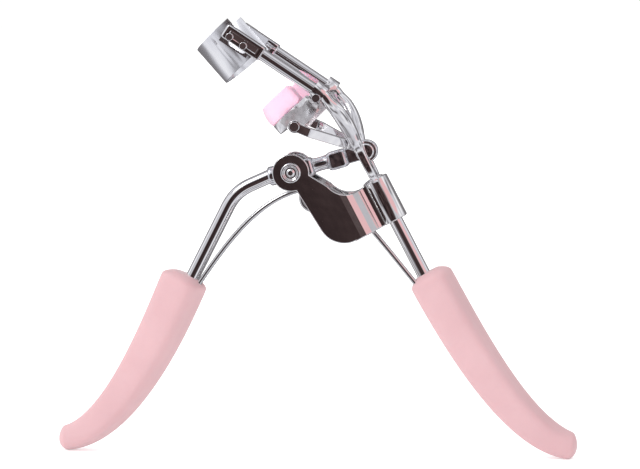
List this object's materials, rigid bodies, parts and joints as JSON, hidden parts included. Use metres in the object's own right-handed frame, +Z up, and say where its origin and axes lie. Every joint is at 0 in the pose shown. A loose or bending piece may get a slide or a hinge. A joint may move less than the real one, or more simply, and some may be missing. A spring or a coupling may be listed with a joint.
{
  "type": "eyelash curler",
  "caption": "Squeeze-handle eyelash curler: spring-opened lever slides a padded curved jaw up two rails to a fixed upper jaw.",
  "frame": {"origin": "middle of the object's bounding box at its base, where the tips of the two grips rest", "axes": "+X towards the right handle, +Y along the pivots, away from the riveted front leaf, +Z up towards the jaws"},
  "size_m": [0.1246, 0.0334, 0.1042],
  "materials": {
    "chrome_rails": "polished chrome plate",
    "chrome_sheet": "polished chrome plate on pressed steel",
    "chrome_small": "polished chrome plate",
    "chrome_cast": "polished chrome plate on a casting",
    "chrome_rod": "polished chrome plate on drawn wire",
    "spring_wire": "bright spring steel",
    "grip_silicone": "matt soft-touch silicone",
    "pad_silicone": "satin translucent silicone"
  },
  "bodies": {
    "root": {"frame_fork": "chrome_rails", "upper_jaw": "chrome_sheet", "upper_jaw_rivets": "chrome_small", "hinge_bracket": "chrome_sheet", "pivot_rivet": "chrome_small", "pivot_washer_front": "chrome_small", "pivot_washer_rear": "chrome_small", "right_handle_rod": "chrome_rod", "handle_spring": "spring_wire", "right_grip": "grip_silicone"},
    "lever": {"lever_arm": "chrome_cast", "left_handle_rod": "chrome_rod", "link_pin": "chrome_small", "left_grip": "grip_silicone"},
    "jaw": {"lower_jaw": "chrome_sheet", "silicone_pad": "pad_silicone", "guide_crossbar": "chrome_small", "guide_eyelets": "chrome_small", "guide_rivets": "chrome_small", "strut_pins": "chrome_small"},
    "struts": {"strut_front": "chrome_small", "strut_rear": "chrome_small"}
  },
  "joints": [
    {"name": "lever_hinge", "type": "hinge", "parent": "root", "child": "lever", "pos_m": [-0.0054, 0, 0.0679], "axis": [0, -1, 0], "range_deg": [0, 41], "stiffness_Nm_per_rad": 0.15, "springref_deg": -22.92, "deforming": ["handle_spring"]},
    {"name": "jaw_slide", "type": "slide", "parent": "root", "child": "jaw", "axis": [-0.8339, 0, 0.5519], "range_m": [0, 0.0108]},
    {"name": "strut_swing", "type": "hinge", "parent": "jaw", "child": "struts", "pos_m": [-0.0035, 0, 0.0793], "axis": [0, -1, 0], "range_deg": [0, 18]}
  ],
  "couplings": [
    {"joint": "jaw_slide", "follows": "lever_hinge", "m_per_rad": 0.0149},
    {"joint": "strut_swing", "follows": "lever_hinge", "ratio": 0.42}
  ]
}
